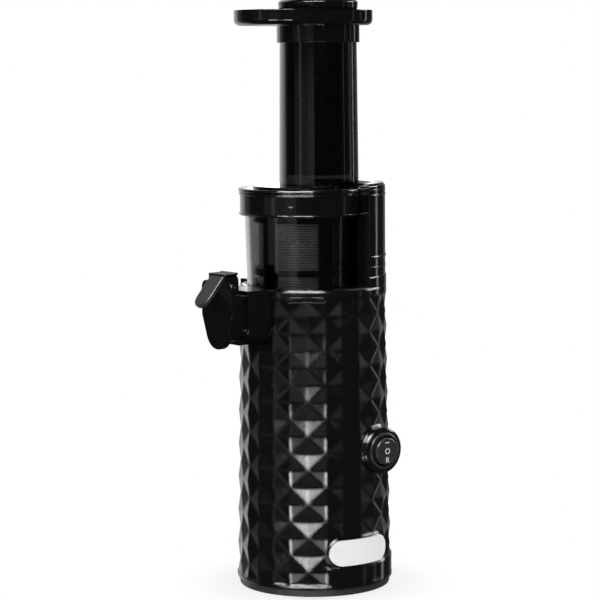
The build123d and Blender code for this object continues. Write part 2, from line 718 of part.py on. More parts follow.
def gearbox_housing():
    outer = gearbox_inner() + GEARBOX_WALL
    cover_low = Z_GEARBOX_TOP - GEARBOX_COVER
    box = gearbox_plan(outer, Z_GEARBOX, cover_low)
    for x, y in gearbox_screw_places():
        box += rod(GEARBOX_EAR_RADIUS, Z_GEARBOX, cover_low, x, y)
    floor_top = Z_GEARBOX + GEARBOX_FLOOR
    box -= gearbox_plan(gearbox_inner(), floor_top, cover_low + PAST)
    box += rod(HUB_RADIUS, floor_top - JOIN, Z_FIRST - AXIAL_PLAY, IDLER_X)
    box -= rod(IDLER_AXLE_RADIUS, Z_GEARBOX + AXLE_INSET, Z_FIRST, IDLER_X)
    box -= rod(MOTOR_SHAFT_RADIUS + SHAFT_ROOM, Z_GEARBOX - PAST, Z_FIRST, CHAMBER_X)
    for x, y in gearbox_screw_places():
        box -= rod(SCREW_RADIUS, cover_low - SCREW_BITE, cover_low + PAST, x, y)
    return box


def gearbox_cover():
    outer = gearbox_inner() + GEARBOX_WALL
    low = Z_GEARBOX_TOP - GEARBOX_COVER
    cover = gearbox_plan(outer, low, Z_GEARBOX_TOP)
    for x, y in gearbox_screw_places():
        cover += rod(GEARBOX_EAR_RADIUS, low, Z_GEARBOX_TOP, x, y)
        cover -= rod(SCREW_RADIUS + SCREW_PLAY, low - PAST, Z_GEARBOX_TOP + PAST, x, y)
    cover += rod(HUB_RADIUS, Z_GEARS_TOP + AXIAL_PLAY, low + JOIN, IDLER_X)
    cover -= rod(IDLER_AXLE_RADIUS, low - GEAR_SPACING, Z_GEARBOX_TOP - AXLE_INSET, IDLER_X)
    return cover - rod(BUSH_RADIUS, low - PAST, Z_GEARBOX_TOP + PAST, CHAMBER_X)


def gearbox_screws():
    screws = []
    for x, y in gearbox_screw_places():
        screw = rod(SCREW_HEAD_RADIUS, Z_GEARBOX_TOP, Z_GEARBOX_TOP + SCREW_HEAD_HEIGHT, x, y)
        bottom = Z_GEARBOX_TOP - GEARBOX_COVER - SCREW_BITE + SCREW_END_ROOM
        screws.append(screw + rod(SCREW_RADIUS, bottom, Z_GEARBOX_TOP + JOIN, x, y))
    return screws


def output_bush():
    low = Z_GEARBOX_TOP - GEARBOX_COVER
    return tube(BUSH_RADIUS, DRIVE_SHAFT_RADIUS + RUN_GAP, low, low + BUSH_LENGTH, CHAMBER_X)


# ---- bowl deck ----
def deck_post_places():
    return [(CHAMBER_X + x, y) for x, y in (polar(DECK_POST_CIRCLE, a) for a in DECK_POST_ANGLES)]


def bowl_deck():
    deck = rod(inner_radius(Z_DECK) - SLIP_GAP, Z_DECK_BOTTOM, Z_DECK)
    for x, y in deck_post_places():
        deck += rod(DECK_POST_RADIUS, Z_GEARBOX_TOP, Z_DECK_BOTTOM + JOIN, x, y)
    low = Z_DECK_BOTTOM - DECK_SEAL_DEPTH
    deck += rod(DECK_SEAL_RADIUS + DECK_SEAL_HOLDER, low, Z_DECK_BOTTOM + JOIN, CHAMBER_X)
    return deck - rod(DECK_SEAL_RADIUS, low - PAST, Z_DECK + PAST, CHAMBER_X)


def deck_seal():
    outer_lip, inner_lip, depth = DECK_SEAL_LIPS
    bore = DRIVE_SHAFT_RADIUS + SLIP_GAP
    ring = tube(DECK_SEAL_RADIUS, bore, Z_DECK_BOTTOM - DECK_SEAL_DEPTH, Z_DECK, CHAMBER_X)
    groove = tube(DECK_SEAL_RADIUS - outer_lip, bore + inner_lip, Z_DECK - depth, Z_DECK + PAST, CHAMBER_X)
    return ring - groove


# ---- bowl ----
def arm_clearance_cut(low, high):
    """Space that the lock arm takes out of the bowl's flange."""
    zone = rod(FAR, low, high) - rod(ARM_LOWER_INNER - SLIP_GAP, low - PAST, high + PAST, CHAMBER_X)
    return zone & sector(2 * FAR, ARM_START - ARM_END_GAP, ARM_SWEEP + 2 * ARM_END_GAP, low, high)


def spout_channel():
    low, high = Z_POD + NECK_STEP + POD_WALL, Z_RIM - NECK_STEP - POD_WALL
    return u_bar(NECK_WIDTH - 2 * POD_WALL, low, high, NECK_CORNER - POD_WALL, CHANNEL_START,
                 NECK_REACH + PAST)


def pulp_channel():
    bar = u_bar(POD_WIDTH - 2 * POD_WALL, Z_POD + POD_WALL, Z_RIM - FLANGE_THICKNESS,
                POD_CORNER - POD_WALL, PULP_START, PULP_REACH + PAST)
    return Rot(0, 0, -90) * bar


def hinge_level():
    return Z_RIM + HINGE_RISE


def ear_half():
    return HINGE_BARREL_WIDTH / 2 + SWING_GAP


def spout_ears():
    """The two ears on the neck that carry the cap's pin."""
    ears = Part()
    for side in (-1, 1):
        middle = side * (ear_half() + EAR_THICKNESS / 2)
        low, high = middle - EAR_THICKNESS / 2, middle + EAR_THICKNESS / 2
        half = HINGE_BARREL_RADIUS
        foot = Z_RIM - NECK_STEP - JOIN
        ears += block(-HINGE_REACH - half, -HINGE_REACH + half, low, high, foot, hinge_level())
        ears += bar_y(half, low, high, -HINGE_REACH, hinge_level())
    return ears


def bowl_base():
    base = rod(CUP_RADIUS, Z_CUP, Z_RIM, CHAMBER_X)
    flange = rod(RECESS_RADIUS - SLIP_GAP, Z_RIM - FLANGE_THICKNESS, Z_RIM)
    base += flange
    base += u_bar(POD_WIDTH, Z_POD, Z_RIM, POD_CORNER, POD_START, POD_REACH)
    base += u_bar(NECK_WIDTH, Z_POD + NECK_STEP, Z_RIM - NECK_STEP, NECK_CORNER, NECK_START, NECK_REACH)
    base += Rot(0, 0, -90) * u_bar(POD_WIDTH, Z_POD, Z_RIM, POD_CORNER, POD_START, PULP_REACH)
    base += spout_ears()
    base -= arm_clearance_cut(Z_CUP, Z_RIM + PAST)
    base -= rod(CUP_INNER, Z_BOWL_FLOOR, Z_RIM + PAST, CHAMBER_X)
    base -= spout_channel()
    base -= pulp_channel()
    base -= rod(BOWL_SEAL_RADIUS, Z_CUP - PAST, Z_BOWL_FLOOR + PAST, CHAMBER_X)
    return base - bar_y(HINGE_PIN_RADIUS, -POD_WIDTH, POD_WIDTH, -HINGE_REACH, hinge_level())


def bowl_seal():
    """Seal ring in the bowl's floor, around the drive shaft."""
    return tube(BOWL_SEAL_RADIUS, DRIVE_SHAFT_RADIUS + SLIP_GAP, Z_CUP, Z_BOWL_FLOOR, CHAMBER_X)


def bowl_wall():
    outer = taper(BOWL_WALL_BASE_RADIUS, BOWL_WALL_TOP_RADIUS, Z_RIM, Z_BOWL_WALL_TOP, CHAMBER_X)
    low, high = BOWL_WALL_BASE_RADIUS - BOWL_WALL, BOWL_WALL_TOP_RADIUS - BOWL_WALL
    return outer - taper(low, high, Z_RIM, Z_BOWL_WALL_TOP, CHAMBER_X)


def spout_hinge_pin():
    half = ear_half() + EAR_THICKNESS
    return bar_y(HINGE_PIN_RADIUS, -half, half, -HINGE_REACH, hinge_level())


# ---- spout cap ----
def cap_plate():
    """Plate over the mouth of the neck, which narrows to a round foot."""
    head = Pos(0, Z_RIM + CAP_RISE - CAP_HEAD / 2) * RectangleRounded(CAP_WIDTH, CAP_HEAD, CAP_CORNER)
    foot = Pos(0, Z_RIM - CAP_DROP + CAP_FOOT_RADIUS) * Circle(CAP_FOOT_RADIUS)
    outline = make_hull(head.edges() + foot.edges())
    start = -NECK_REACH - SWING_GAP - CAP_THICKNESS
    return extrude(Plane.YZ.offset(start) * outline, CAP_THICKNESS)


def spout_cap():
    half = HINGE_BARREL_WIDTH / 2
    cap = cap_plate() + bar_y(HINGE_BARREL_RADIUS, -half, half, -HINGE_REACH, hinge_level())
    below, above = HINGE_WEB
    cap += block(-NECK_REACH - SWING_GAP - JOIN, -HINGE_REACH, -half, half, hinge_level() - below,
                 hinge_level() + above)
    hole = HINGE_PIN_RADIUS + RUN_GAP
    return cap - bar_y(hole, -half - PAST, half + PAST, -HINGE_REACH, hinge_level())


def cap_seal():
    """Soft plug behind the cap plate, inside the mouth of the spout."""
    inner = POD_WALL + SLIP_GAP
    far = NECK_REACH + SWING_GAP
    return u_bar(NECK_WIDTH - 2 * inner, Z_POD + NECK_STEP + inner,
                 Z_RIM - NECK_STEP - POD_WALL - SEAL_TOP_ROOM, NECK_CORNER - inner,
                 far - SEAL_DEPTH, far)


def cap_lever():
    """Thumb tab that slopes outward and down from the top of the cap."""
    outline = Pos(LEVER_LENGTH / 2, 0) * Rectangle(LEVER_LENGTH, LEVER_WIDTH)
    outline = fillet(outline.vertices().group_by(Axis.X)[-1], LEVER_WIDTH / 2 - FIT_GAP)
    slab = extrude(outline, -LEVER_THICKNESS)
    slab = fillet(slab.edges().group_by(Axis.Z)[-1], LEVER_ROUND)
    start = Pos(-(NECK_REACH + SWING_GAP + CAP_THICKNESS / 2), 0, Z_RIM + CAP_RISE + LEVER_RISE)
    lever = start * Rot(0, 0, 180) * Rot(0, LEVER_SLOPE, 0) * slab
    return lever - spout_cap()


# ---- strainer and auger ----
def strainer_low():
    return Z_BOWL_FLOOR + SEAT_GAP


def strainer_ring(low, height):
    return tube(STRAINER_RADIUS, MESH_INNER, low, low + height, CHAMBER_X)


def strainer_frame():
    low = strainer_low()
    frame = strainer_ring(low, STRAINER_FOOT_HEIGHT)
    frame += strainer_ring(low + STRAINER_MID_RISE, STRAINER_RING_HEIGHT)
    frame += strainer_ring(low + STRAINER_HEIGHT - STRAINER_RING_HEIGHT, STRAINER_RING_HEIGHT)
    half = STRAINER_POST_WIDTH / 2
    posts = Part()
    for i in range(STRAINER_POSTS):
        post = block(0, 2 * STRAINER_RADIUS, -half, half, low, low + STRAINER_HEIGHT)
        posts += Rot(0, 0, STRAINER_POST_ANGLE + i * 360 / STRAINER_POSTS) * post
    band = tube(STRAINER_RADIUS - STRAINER_POST_INSET, MESH_INNER, low, low + STRAINER_HEIGHT)
    return frame + Pos(CHAMBER_X, 0, 0) * (band & posts)


def strainer_mesh():
    low = strainer_low()
    return tube(MESH_INNER, MESH_INNER - MESH_THICKNESS, low, low + STRAINER_HEIGHT, CHAMBER_X)


def auger_low():
    return Z_BOWL_FLOOR + AXIAL_PLAY


def auger():
    low = auger_low()
    high = low + AUGER_HEIGHT
    shoulder = high - AUGER_TOP_RADIUS
    core = taper(AUGER_ROOT_RADIUS, AUGER_TOP_RADIUS, low, shoulder)
    nose = Pos(0, 0, shoulder) * Sphere(AUGER_TOP_RADIUS)
    core += nose & rod(AUGER_RADIUS, shoulder, high + PAST)
    reach = AUGER_RADIUS - AUGER_TOP_RADIUS + FLIGHT_ROOT
    middle = AUGER_RADIUS - reach / 2
    length = FLIGHT_PITCH * FLIGHT_TURNS
    path = Pos(0, 0, low + FLIGHT_THICKNESS / 2) * Helix(FLIGHT_PITCH, length, middle)
    section = Plane(path @ 0, x_dir=(1, 0, 0), z_dir=path % 0) * Rectangle(reach, FLIGHT_THICKNESS)
    flight = sweep(section, path=path, is_frenet=True)
    screw = core + (flight & rod(AUGER_RADIUS, low, high))
    screw -= rod(SOCKET_RADIUS, low - PAST, low + SOCKET_HEIGHT)
    return Pos(CHAMBER_X, 0, 0) * screw


def auger_core():
    """Steel socket in the auger that takes the drive shaft."""
    low = auger_low()
    core = rod(SOCKET_RADIUS, low, low + SOCKET_HEIGHT, CHAMBER_X)
    return core - hexagon(DRIVE_SHAFT_RADIUS + SLIP_GAP, low - PAST, shaft_top() + AXIAL_PLAY)


# ---- lid and feed tube ----
def lid_ring():
    rim = LID_RADIUS + LID_RIM_PROUD
    groove, upper = rim - LID_GROOVE, rim - LID_UPPER_INSET
    step = (Z_LID_TOP - Z_LID_PLATE) / 3
    groove_low, groove_high = Z_LID_PLATE + step, Z_LID_PLATE + 2 * step
    outside = [(LID_RADIUS, Z_LID), (LID_RADIUS, Z_LID_PLATE), (rim, Z_LID_PLATE + LID_RIM_SLOPE),
               (rim, groove_low), (groove, groove_low), (groove, groove_high), (upper, groove_high),
               (upper, Z_LID_TOP - LID_TOP_CHAMFER), (upper - LID_TOP_CHAMFER, Z_LID_TOP), (0, Z_LID_TOP)]
    skirt_width, skirt_depth = LID_SKIRT
    skirt = BOWL_WALL_TOP_RADIUS - BOWL_WALL - LID_SKIRT_GAP
    skirt_low = Z_BOWL_WALL_TOP - skirt_depth
    inside = [(0, Z_LID_PLATE), (skirt - skirt_width, Z_LID_PLATE), (skirt - skirt_width, skirt_low),
              (skirt, skirt_low), (skirt, Z_LID_PLATE), (LID_INNER, Z_LID_PLATE), (LID_INNER, Z_LID)]
    lid = turned(outside + inside, CHAMBER_X)
    width, proud, height = LOCK_RIB
    rib_low = Z_LID + LOCK_RIB_RISE
    rib = block(LID_INNER + JOIN, LID_RADIUS + proud, -width / 2, width / 2, rib_low, rib_low + height)
    lid += Pos(CHAMBER_X, 0, 0) * Rot(0, 0, LOCK_RIB_ANGLE) * rib
    return lid - rod(TUBE_BORE_RADIUS, Z_LID - PAST, Z_LID_TOP + PAST, TUBE_SIDE)


def lid_gasket():
    inner = BOWL_WALL_TOP_RADIUS - BOWL_WALL
    return tube(LID_INNER, inner, Z_BOWL_WALL_TOP + SEAT_GAP, Z_LID_PLATE, CHAMBER_X)


def feed_tube():
    pipe = rod(TUBE_FLANGE_RADIUS, Z_LID_TOP, Z_TUBE, CHAMBER_X)
    pipe += taper(TUBE_BASE_RADIUS, TUBE_TOP_RADIUS, Z_LID_TOP, Z_TUBE_TOP, TUBE_SIDE)
    return pipe - rod(TUBE_BORE_RADIUS, Z_LID_TOP - PAST, Z_TUBE_TOP + PAST, TUBE_SIDE)


# ---- feed tray and pusher ----
def tray_plan(shrink=0.0):
    lobe_x = TUBE_SIDE - TRAY_LOBE_REACH
    circles = Pos(TUBE_SIDE, 0) * Circle(TRAY_ROUND_RADIUS - shrink)
    circles += Pos(lobe_x, 0) * Circle(TRAY_LOBE_RADIUS - shrink)
    return make_hull(circles.edges())


def feed_tray():
    top = Z_TRAY + TRAY_HEIGHT
    tray = extrude(Pos(0, 0, Z_TRAY) * tray_plan(), TRAY_HEIGHT)
    tray = fillet(tray.edges().group_by(Axis.Z)[0], TRAY_BOTTOM_ROUND)
    tray -= extrude(Pos(0, 0, Z_TRAY_FLOOR) * tray_plan(TRAY_WALL), TRAY_HEIGHT)
    inner = TUBE_TOP_RADIUS + SLIP_GAP
    low = Z_TRAY - COLLAR_HEIGHT
    tray += rod(inner + COLLAR_WALL, low, Z_TRAY + JOIN, TUBE_SIDE)
    tray -= rod(inner, low - PAST, Z_TRAY, TUBE_SIDE)
    return tray - rod(TUBE_BORE_RADIUS, Z_TRAY - PAST, top + PAST, TUBE_SIDE)


def pusher_top():
    return Z_TRAY_FLOOR + SEAT_GAP


def pusher():
    radius = TUBE_BORE_RADIUS - PUSHER_CLEARANCE
    low = pusher_top() - PUSHER_LENGTH
    body = rod(radius, low, pusher_top(), TUBE_SIDE)
    body = fillet(body.edges().group_by(Axis.Z)[0], PUSHER_ROUND)
    return body - rod(radius - PUSHER_WALL, low + PUSHER_WALL, pusher_top() + PAST, TUBE_SIDE)


def pusher_cap():
    low, high = pusher_top(), pusher_top() + PUSHER_CAP_HEIGHT
    foot = PUSHER_CAP_RADIUS - PUSHER_CAP_TAPER
    dish = PUSHER_CAP_RADIUS - PUSHER_CAP_RIM
    points = [(0, low), (foot, low), (PUSHER_CAP_RADIUS - PUSHER_CAP_DRAFT, high - PUSHER_CAP_BAND),
              (PUSHER_CAP_RADIUS, high - PUSHER_CAP_EDGE), (PUSHER_CAP_RADIUS - PUSHER_CAP_EDGE, high),
              (dish, high), (dish - PUSHER_DISH_SLOPE, high - PUSHER_DIMPLE), (0, high - PUSHER_DIMPLE)]
    return turned(points, TUBE_SIDE)


# ---- lid lock arm ----
def crescent(outer, inner, low, high, trim=0.0):
    """Wall between a circle on the body axis and one on the chamber axis."""
    wall = rod(outer, low, high) - rod(inner, low - PAST, high + PAST, CHAMBER_X)
    edge = degrees(trim / outer)
    return wall & sector(2 * FAR, ARM_START + edge, ARM_SWEEP - 2 * edge, low, high)


def arm_step():
    """Level where the arm gets thinner to clear the lid's band."""
    return Z_LID - ARM_STEP_GAP


def lock_arm():
    arm = crescent(ARM_RADIUS, ARM_UPPER_INNER, arm_step(), ARM_TOP)
    arm = chamfer(arm.edges().group_by(Axis.Z)[-1], ARM_ROUND)
    arm += crescent(ARM_RADIUS, ARM_LOWER_INNER, Z_RIM, arm_step())
    arm += crescent(RIM_RADIUS, ARM_LOWER_INNER, Z_RIM, Z_RIM + ARM_FOOT_HEIGHT)
    skirt_low = Z_RIM - ARM_SKIRT
    arm += crescent(RECESS_RADIUS - SLIP_GAP, ARM_LOWER_INNER, skirt_low, Z_RIM)
    wall = ARM_WALL
    arm -= crescent(ARM_RADIUS - wall, ARM_LOWER_INNER + wall, Z_RIM, arm_step() - wall, wall)
    arm -= crescent(RECESS_RADIUS - SLIP_GAP - wall, ARM_LOWER_INNER + wall, skirt_low - PAST, Z_RIM, wall)
    arm -= crescent(ARM_RADIUS - wall, ARM_UPPER_INNER + wall, arm_step() - wall - JOIN, ARM_TOP - wall,
                    wall + ARM_SOLID_END)
    return arm - bar_x(PLUNGER_RADIUS + FIT_GAP, 0, ARM_RADIUS - wall, 0, plunger_level())


def plunger_level():
    return Z_LID + PLUNGER_HEIGHT


def lock_switch_front():
    return ARM_RADIUS - ARM_WALL - LOCK_SWITCH[0]


def lock_plunger():
    tip = CHAMBER_X + LID_RADIUS + SLIP_GAP
    pin = bar_x(PLUNGER_RADIUS, tip, lock_switch_front() - SEAT_GAP, 0, plunger_level())
    return fillet(pin.edges().group_by(Axis.X)[0], PLUNGER_RADIUS / 2)


def lock_switch():
    depth, width, height = LOCK_SWITCH
    front = lock_switch_front()
    level = plunger_level() - height / 2
    case = block(front, front + 2 * depth, -width / 2, width / 2, level, level + height)
    return case & rod(ARM_RADIUS - ARM_WALL, level, level + height)


# ---- rocker switch ----
def switch_bar(radius, inward, outward):
    """Cylinder on the switch's axis, between two distances from its boss's face."""
    return bar_y(radius, -SWITCH_FACE - outward, -SWITCH_FACE + inward, SWITCH_SIDE, SWITCH_HEIGHT)


def switch_bezel():
    ring = switch_bar(BEZEL_RADIUS, 0, BEZEL_THICKNESS)
    ring = fillet(ring.edges().group_by(Axis.Y)[0], BEZEL_ROUND)
    return ring - switch_bar(POCKET_RADIUS, PAST, BEZEL_THICKNESS + PAST)


def rocker_pivot_depth():
    return ROCKER_DEPTH - ROCKER_PROUD - BEZEL_THICKNESS


def switch_housing():
    body = switch_bar(POCKET_RADIUS + POCKET_WALL, SWITCH_DEPTH, 0)
    body -= switch_bar(POCKET_RADIUS, POCKET_DEPTH, PAST)
    back = -SWITCH_FACE + SWITCH_DEPTH
    width, length, thickness = TERMINAL
    for step in (-TERMINAL_SPACING, 0, TERMINAL_SPACING):
        low = SWITCH_HEIGHT + step - thickness / 2
        body += block(SWITCH_SIDE - width / 2, SWITCH_SIDE + width / 2, back - JOIN, back + length,
                      low, low + thickness)
    for side in (-1, 1):
        body += rocker_trunnion(side, ROCKER_PIN_RADIUS)
    return body


def rocker_trunnion(side, radius):
    """Stub on the pocket's side that the rocker turns on."""
    near, far = ROCKER_RADIUS - ROCKER_PIN_BITE, POCKET_RADIUS + POCKET_WALL / 2
    low, high = (near, far) if side > 0 else (-far, -near)
    return bar_x(radius, SWITCH_SIDE + low, SWITCH_SIDE + high, rocker_axis_y(), SWITCH_HEIGHT)


def rocker_axis_y():
    return -SWITCH_FACE + rocker_pivot_depth() + ROCKER_PIN_DEPTH


def switch_rocker():
    front = BEZEL_THICKNESS + ROCKER_PROUD
    disc = switch_bar(ROCKER_RADIUS, ROCKER_DEPTH - front, front)
    disc = fillet(disc.edges().group_by(Axis.Y)[0], ROCKER_ROUND)
    for side in (-1, 1):
        disc -= rocker_trunnion(side, ROCKER_PIN_RADIUS + RUN_GAP)
    return disc


# ---- electronics and cord gland ----
def board_blank(extra=0.0):
    """Upright circuit board behind the motor."""
    half = BOARD_WIDTH / 2 + BOARD_EDGE + extra
    low = Z_SHELL + BOARD_LIFT
    return block(CHAMBER_X - half, CHAMBER_X + half, BOARD_SETBACK - extra,
                 BOARD_SETBACK + BOARD_THICKNESS + extra, low, low + BOARD_HEIGHT)


def power_board():
    return board_blank()


def board_block(size, place):
    """Block on the back of the board, by its size and the place of its lower corner."""
    width, thickness, height = size
    x, face = CHAMBER_X + place[0], BOARD_SETBACK + BOARD_THICKNESS
    low = Z_SHELL + BOARD_LIFT + place[1]
    return block(x, x + width, face, face + thickness, low, low + height)


def board_parts():
    """Capacitor, rectifier and terminal block, on the back of the board."""
    aside, up = CAPACITOR_PLACE
    low = Z_SHELL + BOARD_LIFT + up
    y = BOARD_SETBACK + BOARD_THICKNESS + CAPACITOR_RADIUS
    capacitor = rod(CAPACITOR_RADIUS, low, low + CAPACITOR_LENGTH, CHAMBER_X + aside, y)
    rectifier = board_block(RECTIFIER, RECTIFIER_PLACE)
    return [capacitor, rectifier, board_block(TERMINAL_BLOCK, TERMINAL_BLOCK_PLACE)]


def cord_gland():
    level = Z_SHELL + GLAND_HEIGHT
    inside = inner_radius(level)
    outside = BODY_BASE_RADIUS
    inner_face = inside - GLAND_GROOVE_ROOM
    end = inner_face - GLAND_INNER_LIP
    gland = bar_x(GLAND_RADIUS - FIT_GAP, end, outside, 0, level)
    gland += bar_x(GLAND_FLANGE, outside, outside + GLAND_OUTER_LIP, 0, level)
    gland += bar_x(GLAND_FLANGE, end, inner_face, 0, level)
    gland -= bar_x(GLAND_BORE, end - PAST, FAR, 0, level)
    return Rot(0, 0, GLAND_ANGLE) * gland


NODES = [body_shell, bottom_cover, rubber_feet, bottom_screws, name_badge, lock_arm, lock_plunger,
         lock_switch, switch_bezel, switch_housing, switch_rocker, power_board, board_parts, cord_gland,
         motor_can, motor_end_bell, motor_magnets, motor_rotor, motor_pinion, idler_gear, idler_axle,
         output_gear, drive_shaft, gearbox_housing, gearbox_cover, gearbox_screws, output_bush,
         bowl_deck, deck_seal, bowl_base, bowl_seal, bowl_wall, strainer_frame, strainer_mesh,
         auger, auger_core, spout_hinge_pin, spout_cap, cap_seal, cap_lever, lid_ring, lid_gasket,
         feed_tube, feed_tray, pusher, pusher_cap]


def single_shape(made):
    """One shape for a node that may be a list of separate solids."""
    if isinstance(made, list):
        return Compound(children=[solid for piece in made for solid in piece.solids()])
    solids = made.solids()
    return solids[0] if len(solids) == 1 else Compound(children=list(solids))


def main():
    os.makedirs("parts", exist_ok=True)
    for make in NODES:
        export_step(single_shape(make()), f"parts/{make.__name__}.step")


main()
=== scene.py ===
import bpy
import json
from math import cos, pi, radians, sin
from mathutils import Matrix, Vector


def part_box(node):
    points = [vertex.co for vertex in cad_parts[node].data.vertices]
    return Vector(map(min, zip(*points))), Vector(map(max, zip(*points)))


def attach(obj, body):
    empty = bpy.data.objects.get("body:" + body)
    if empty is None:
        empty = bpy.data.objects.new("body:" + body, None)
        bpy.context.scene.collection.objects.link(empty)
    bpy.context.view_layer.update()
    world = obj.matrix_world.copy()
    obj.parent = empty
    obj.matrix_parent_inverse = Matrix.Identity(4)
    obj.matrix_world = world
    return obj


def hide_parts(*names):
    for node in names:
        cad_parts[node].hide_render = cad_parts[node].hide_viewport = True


# Cold press juicer, in metres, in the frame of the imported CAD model. The camera, light and floor
# come first, then the materials, then the pieces that the solids leave plain.

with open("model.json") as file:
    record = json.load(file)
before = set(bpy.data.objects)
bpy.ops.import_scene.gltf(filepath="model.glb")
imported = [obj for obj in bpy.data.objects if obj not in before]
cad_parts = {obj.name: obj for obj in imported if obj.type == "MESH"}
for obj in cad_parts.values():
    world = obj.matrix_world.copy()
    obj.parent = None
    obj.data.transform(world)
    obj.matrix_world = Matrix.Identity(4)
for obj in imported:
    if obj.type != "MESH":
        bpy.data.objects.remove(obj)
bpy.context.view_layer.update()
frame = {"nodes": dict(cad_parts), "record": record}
NODES = frame["nodes"]
MM = 0.001

# ---- camera, as fitted to the photograph ----
CAMERA_AZIMUTH = radians(37.05)     # of the line of sight, from +Y towards +X
CAMERA_DISTANCE = 1.4912            # level distance from the body axis
CAMERA_HEIGHT = 0.3549
CAMERA_PITCH = radians(-6.08)
CAMERA_ROLL = radians(-0.43)
CAMERA_ASIDE = 0.00874              # the body axis stands this far right of the picture's middle
CAMERA_SENSOR = 36.0                # width in millimetres
CAMERA_LENS = 131.7                 # in millimetres
CAMERA_NEAR, CAMERA_FAR = 0.05, 30.0

# ---- studio ----
FLOOR_RADIUS = 0.30
FLOOR_RINGS, FLOOR_SPOKES = 12, 96
FADE_START, FADE_END = 0.050, 0.10  # over these radii the floor fades into the white background
FADE_LEAST = 0.82                   # share of plain white in the middle of the floor
WHITE = (1.0, 1.0, 1.0)
DIFFUSE_LEVEL = 0.50                # of the world, on surfaces that scatter light
DARK_LEVEL = 0.03                   # of the unlit studio, in reflections
# Each row: azimuth, elevation, half width, half height and softness of the edge, all in degrees,
# and strength. Black gloss mirrors some 4 % of it head on.
SOFTBOXES = [
    (80, 0, 20, 44, 6, 0.75),               # white backdrop behind the juicer
    (72, 0, 46, 44, 6, 0.20),               # its dim surroundings
    (223, -27, 29, 5.2, 0.6, 2.6),          # lit edge of the table in front
    (206, -23.0, 9.95, 2.0, 0.8, 28.0),     # bright strips on that edge
    (242, -23.0, 9.0, 2.0, 0.8, 26.0),
    (226, 50, 34, 42, 8, 0.80),             # pale ceiling
    (216, 47, 38, 14, 2, 36.0),             # lamp along the ceiling
    (350, 24, 18, 8, 2, 18.0),              # lamp on the right
    (189, -7, 31, 8, 1, 0.16),              # dim wall on the left
    (211, -7, 9, 8, 1, 0.12),               # its nearer end, a little brighter
    (177, -4, 3, 14, 2, 0.5),               # upright strip on the left
    (313, 0, 1.5, 26, 0.7, 0.45),           # upright strips on the right
    (335, 0, 1.5, 26, 0.7, 0.45),
    (-5, 0, 2.5, 24, 1, 1.5),
    (53, 4, 1.6, 4.5, 0.6, 2.5),            # window that level faces mirror, such as the lid's top
]
# Each row: name, azimuth, elevation, distance, side and watts of a square lamp.
LAMPS = [("key", 250, 38, 1.6, 0.9, 9), ("fill", 170, 30, 1.7, 1.0, 5)]
LAMP_TARGET = Vector((0, 0, 0.2))


# ---- node helpers ----
class Tree:
    """Short names for building a node tree."""

    def __init__(self, tree):
        self.tree = tree
        tree.nodes.clear()

    def node(self, kind, **settings):
        made = self.tree.nodes.new("ShaderNode" + kind)
        for key, value in settings.items():
            setattr(made, key, value)
        return made

    def put(self, value, socket):
        """Sets a socket to a number or colour, or links it to another socket."""
        if isinstance(value, bpy.types.NodeSocket):
            self.tree.links.new(value, socket)
        elif isinstance(value, (tuple, list)) and len(value) == 3 and socket.type == "RGBA":
            socket.default_value = (*value, 1.0)
        else:
            socket.default_value = value

    def math(self, operation, a, b=0.0):
        made = self.node("Math", operation=operation)
        self.put(a, made.inputs[0])
        self.put(b, made.inputs[1])
        return made.outputs[0]

    def dot(self, vector, direction):
        made = self.node("VectorMath", operation="DOT_PRODUCT")
        self.put(vector, made.inputs[0])
        self.put(tuple(direction), made.inputs[1])
        return made.outputs["Value"]

    def smooth(self, value, low, high, at_low=0.0, at_high=1.0):
        """Eased step from one level to another, while the value goes from low to high."""
        made = self.node("MapRange", interpolation_type="SMOOTHSTEP")
        for name, setting in (("Value", value), ("From Min", low), ("From Max", high),
                              ("To Min", at_low), ("To Max", at_high)):
            self.put(setting, made.inputs[name])
        return made.outputs["Result"]

    def blend(self, share, a, b):
        """Number a where the share is 0, and number b where it is 1."""
        rest = self.math("SUBTRACT", 1.0, share)
        return self.math("ADD", self.math("MULTIPLY", a, rest), self.math("MULTIPLY", b, share))

    def mix(self, share, a, b):
        """Colour a where the share is 0, and colour b where it is 1."""
        made = self.node("Mix", data_type="RGBA")
        self.put(share, made.inputs["Factor"])
        self.put(a, made.inputs[6])
        self.put(b, made.inputs[7])
        return made.outputs[2]

    def noise(self, scale, detail, stretch=(1, 1, 1)):
        """Noise in the piece's own coordinates, in cells per metre times the stretch of an axis."""
        mapping = self.node("Mapping")
        self.put(self.node("TexCoord").outputs["Object"], mapping.inputs["Vector"])
        self.put(stretch, mapping.inputs["Scale"])
        made = self.node("TexNoise")
        self.put(mapping.outputs["Vector"], made.inputs["Vector"])
        self.put(scale, made.inputs["Scale"])
        self.put(detail, made.inputs["Detail"])
        return made.outputs["Fac"]


# ---- studio: world, lamps, floor and camera ----
def direction_of(azimuth, elevation):
    """Unit vector from degrees round +Z and above the horizon."""
    a, e = radians(azimuth), radians(elevation)
    return Vector((cos(a) * cos(e), sin(a) * cos(e), sin(e)))


def softbox(tree, ray, azimuth, elevation, half_width, half_height, softness, strength):
    """Brightness of a soft-edged rectangle far away, as a reflected ray meets it."""
    ahead = direction_of(azimuth, 0)
    turn = tree.math("ARCTAN2", tree.dot(ray, (-ahead.y, ahead.x, 0)), tree.dot(ray, ahead))
    rise = tree.math("SUBTRACT", tree.math("ARCSINE", tree.dot(ray, (0, 0, 1))), radians(elevation))
    level = strength
    for offset, half in ((turn, half_width), (rise, half_height)):
        inner, outer = radians(half - softness), radians(half + softness)
        inside = tree.smooth(tree.math("ABSOLUTE", offset), inner, outer, 1.0, 0.0)
        level = tree.math("MULTIPLY", level, inside)
    return level


